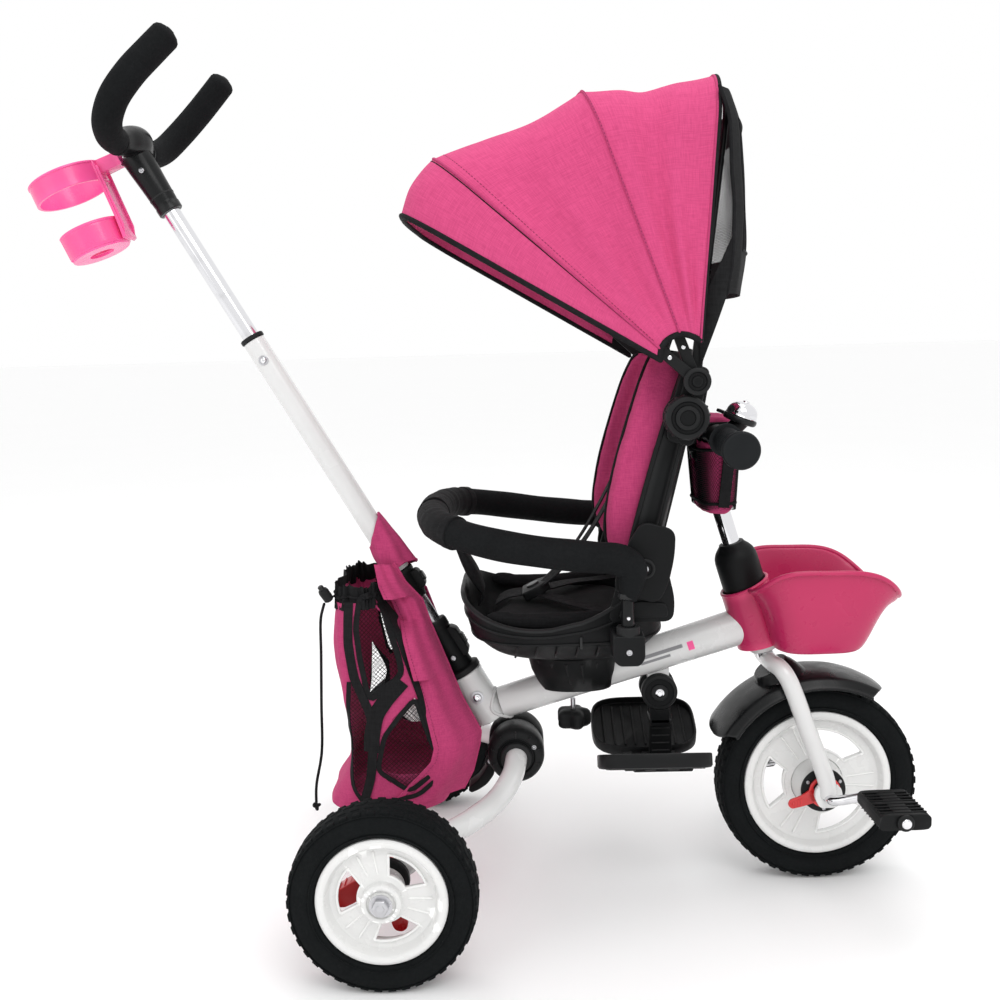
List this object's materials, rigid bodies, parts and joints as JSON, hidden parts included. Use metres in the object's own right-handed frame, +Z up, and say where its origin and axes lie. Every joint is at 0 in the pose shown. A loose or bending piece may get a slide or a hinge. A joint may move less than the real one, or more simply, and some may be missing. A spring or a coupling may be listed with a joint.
{
  "type": "push tricycle",
  "caption": "Children's push tricycle with a steered front wheel, reversible reclining seat, folding canopy, bumper ring, footrest, storage bag and a telescopic steering push handle.",
  "frame": {"origin": "on the floor under the middle of the overall box, half way along the length and between the rear wheels", "axes": "+X forward to the front wheel, +Y to the frame's left, +Z up"},
  "size_m": [1.0893, 0.552, 1.0566],
  "materials": {
    "white_paint": "gloss white powder coat",
    "chrome": "polished",
    "silver_tube": "satin",
    "black_plastic": "fine grained moulding",
    "gloss_black": "smooth moulding",
    "white_plastic": "gloss moulding",
    "foam": "matt closed cell foam",
    "tyre_foam": "matt tread foam",
    "pink_fabric": "melange polyester weave",
    "liner_fabric": "padded polyester liner",
    "black_fabric": "webbing and mesh",
    "hot_pink_plastic": "smooth moulding",
    "basket_plastic": "smooth moulding",
    "red_plastic": "smooth moulding"
  },
  "bodies": {
    "frame": {"main_tube": "white_paint", "head_tube": "white_paint", "pole_socket": "white_paint", "fold_housing": "black_plastic", "seat_saddle": "black_plastic", "footrest_bracket": "white_paint", "storage_bag": "pink_fabric", "bag_cord": "black_fabric"},
    "clamp_knob": {"seat_knob": "black_plastic"},
    "fold_latch": {"fold_lever": "black_plastic"},
    "rear_fork": {"rear_arm_tube": "white_paint"},
    "rear_wheel_right": {"rear_tyre_right": "tyre_foam", "rear_rim_right": "white_plastic"},
    "rear_wheel_left": {"rear_tyre_left": "tyre_foam", "rear_rim_left": "white_plastic"},
    "brake_right": {"brake_pedal_right": "red_plastic"},
    "brake_left": {"brake_pedal_left": "red_plastic"},
    "steering": {"front_fork": "white_paint", "steerer_tube": "white_paint", "stem_boot": "black_plastic", "front_fender": "black_plastic", "front_basket": "basket_plastic", "handlebar": "black_plastic", "grip_right": "foam", "grip_left": "foam", "bar_pouch": "pink_fabric", "bell_base": "gloss_black"},
    "bell": {"bell_dome": "chrome"},
    "front_wheel": {"front_tyre": "tyre_foam", "front_rim": "white_plastic"},
    "clutch": {"clutch_knob": "red_plastic"},
    "cranks": {"crank_axle": "chrome"},
    "pedal_body_right": {"pedal_right": "black_plastic"},
    "pedal_body_left": {"pedal_left": "black_plastic"},
    "footrest": {"footrest_strut": "black_plastic"},
    "plate_right": {"foot_plate_right": "black_plastic"},
    "plate_left": {"foot_plate_left": "black_plastic"},
    "push_pole": {"pole_sleeve": "black_plastic", "pole_lower_tube": "silver_tube", "pole_connector": "black_plastic", "pole_outer_tube": "white_paint"},
    "height_lock": {"height_button": "chrome"},
    "handle": {"pole_inner_tube": "chrome", "handle_hub": "gloss_black", "handle_grip_right": "foam", "handle_grip_left": "foam", "cup_holder": "hot_pink_plastic"},
    "seat": {"seat_shell": "black_plastic", "seat_cushion": "black_fabric"},
    "bumper": {"bumper_bar": "foam", "crotch_strap": "black_fabric"},
    "backrest": {"backrest_shell": "black_plastic", "back_cushion": "liner_fabric", "bow_rear": "gloss_black", "canopy_curtain": "black_fabric"},
    "canopy_front": {"bow_front": "gloss_black", "canopy_visor": "pink_fabric"},
    "canopy_mid": {"bow_mid": "gloss_black", "canopy_fabric": "pink_fabric"}
  },
  "joints": [
    {"name": "steering", "type": "hinge", "parent": "frame", "child": "steering", "pos_m": [0.3508, 0, 0.3037], "axis": [-0.2924, 0, 0.9563], "range_deg": [-10, 8]},
    {"name": "handle_turn", "type": "hinge", "parent": "frame", "child": "push_pole", "pos_m": [-0.0345, 0, 0.281], "axis": [-0.5, 0, 0.866], "range_deg": [-12, 12]},
    {"name": "handle_height", "type": "slide", "parent": "push_pole", "child": "handle", "axis": [-0.5, 0, 0.866], "range_m": [-0.15, 0]},
    {"name": "front_wheel_spin", "type": "hinge", "parent": "steering", "child": "front_wheel", "pos_m": [0.41649, 0.00048, 0.128], "axis": [-0.04, 0.9991, -0.0122], "continuous": true},
    {"name": "crank_spin", "type": "hinge", "parent": "steering", "child": "cranks", "pos_m": [0.41649, 0.00048, 0.128], "axis": [-0.04, 0.9991, -0.0122], "continuous": true},
    {"name": "clutch_turn", "type": "hinge", "parent": "steering", "child": "clutch", "pos_m": [0.41649, 0.00048, 0.128], "axis": [-0.04, 0.9991, -0.0122], "range_deg": [-12, 12]},
    {"name": "pedal_spin_right", "type": "hinge", "parent": "cranks", "child": "pedal_body_right", "pos_m": [0.47129, -0.14321, 0.14777], "axis": [-0.04, 0.9991, -0.0122], "continuous": true},
    {"name": "pedal_spin_left", "type": "hinge", "parent": "cranks", "child": "pedal_body_left", "pos_m": [0.36169, 0.14417, 0.10822], "axis": [-0.04, 0.9991, -0.0122], "continuous": true},
    {"name": "rear_fold", "type": "hinge", "parent": "frame", "child": "rear_fork", "pos_m": [0.0295, 0, 0.181], "axis": [0, -1, 0], "range_deg": [0, 110]},
    {"name": "fold_latch_press", "type": "hinge", "parent": "frame", "child": "fold_latch", "pos_m": [-0.0045, 0, 0.165], "axis": [0, -1, 0], "range_deg": [0, 8], "stiffness_Nm_per_rad": 0.5},
    {"name": "rear_wheel_spin_right", "type": "hinge", "parent": "rear_fork", "child": "rear_wheel_right", "pos_m": [-0.1175, -0.242, 0.105], "axis": [0, 1, 0], "continuous": true},
    {"name": "brake_press_right", "type": "hinge", "parent": "rear_fork", "child": "brake_right", "pos_m": [-0.1175, -0.2, 0.105], "axis": [0, -1, 0], "range_deg": [0, 5]},
    {"name": "rear_wheel_spin_left", "type": "hinge", "parent": "rear_fork", "child": "rear_wheel_left", "pos_m": [-0.1175, 0.242, 0.105], "axis": [0, 1, 0], "continuous": true},
    {"name": "brake_press_left", "type": "hinge", "parent": "rear_fork", "child": "brake_left", "pos_m": [-0.1175, 0.2, 0.105], "axis": [0, -1, 0], "range_deg": [0, 5]},
    {"name": "seat_swivel", "type": "hinge", "parent": "frame", "child": "seat", "pos_m": [0.1045, 0, 0.312], "axis": [0, 0, 1], "range_deg": [-12, 12]},
    {"name": "clamp_knob_turn", "type": "hinge", "parent": "frame", "child": "clamp_knob", "pos_m": [0.1045, 0, 0.218], "axis": [0, 0, 1], "continuous": true},
    {"name": "backrest_recline", "type": "hinge", "parent": "seat", "child": "backrest", "pos_m": [0.1832, 0, 0.443], "axis": [0, 1, 0], "range_deg": [-14, 0]},
    {"name": "bumper_lift", "type": "slide", "parent": "seat", "child": "bumper", "axis": [0, 0, 1], "range_m": [0, 0.06]},
    {"name": "canopy_fold", "type": "hinge", "parent": "backrest", "child": "canopy_mid", "pos_m": [0.2401, 0, 0.654], "axis": [0, 1, 0], "range_deg": [0, 20], "deforming": ["canopy_fabric"]},
    {"name": "canopy_front_fold", "type": "hinge", "parent": "canopy_mid", "child": "canopy_front", "pos_m": [0.2401, 0, 0.654], "axis": [0, 1, 0], "range_deg": [0, 20]},
    {"name": "footrest_fold", "type": "hinge", "parent": "frame", "child": "footrest", "pos_m": [0.2145, 0, 0.254], "axis": [0, 1, 0], "range_deg": [0, 24]},
    {"name": "plate_fold_right", "type": "hinge", "parent": "footrest", "child": "plate_right", "pos_m": [0.2015, -0.02, 0.158], "axis": [-1, 0, 0], "range_deg": [0, 40]},
    {"name": "plate_fold_left", "type": "hinge", "parent": "footrest", "child": "plate_left", "pos_m": [0.2015, 0.02, 0.158], "axis": [1, 0, 0], "range_deg": [0, 40]},
    {"name": "height_button_press", "type": "slide", "parent": "push_pole", "child": "height_lock", "axis": [0, 1, 0], "range_m": [0, 0.004], "stiffness_N_per_m": 400},
    {"name": "bell_ring", "type": "hinge", "parent": "steering", "child": "bell", "pos_m": [0.30191, -0.08433, 0.60604], "axis": [0.354, -0.0746, 0.9323], "range_deg": [0, 40], "stiffness_Nm_per_rad": 0.05}
  ],
  "couplings": [
    {"joint": "handle_turn", "follows": "steering", "ratio": 1},
    {"joint": "canopy_front_fold", "follows": "canopy_fold", "ratio": 1},
    {"joint": "crank_spin", "follows": "front_wheel_spin", "ratio": 1}
  ]
}
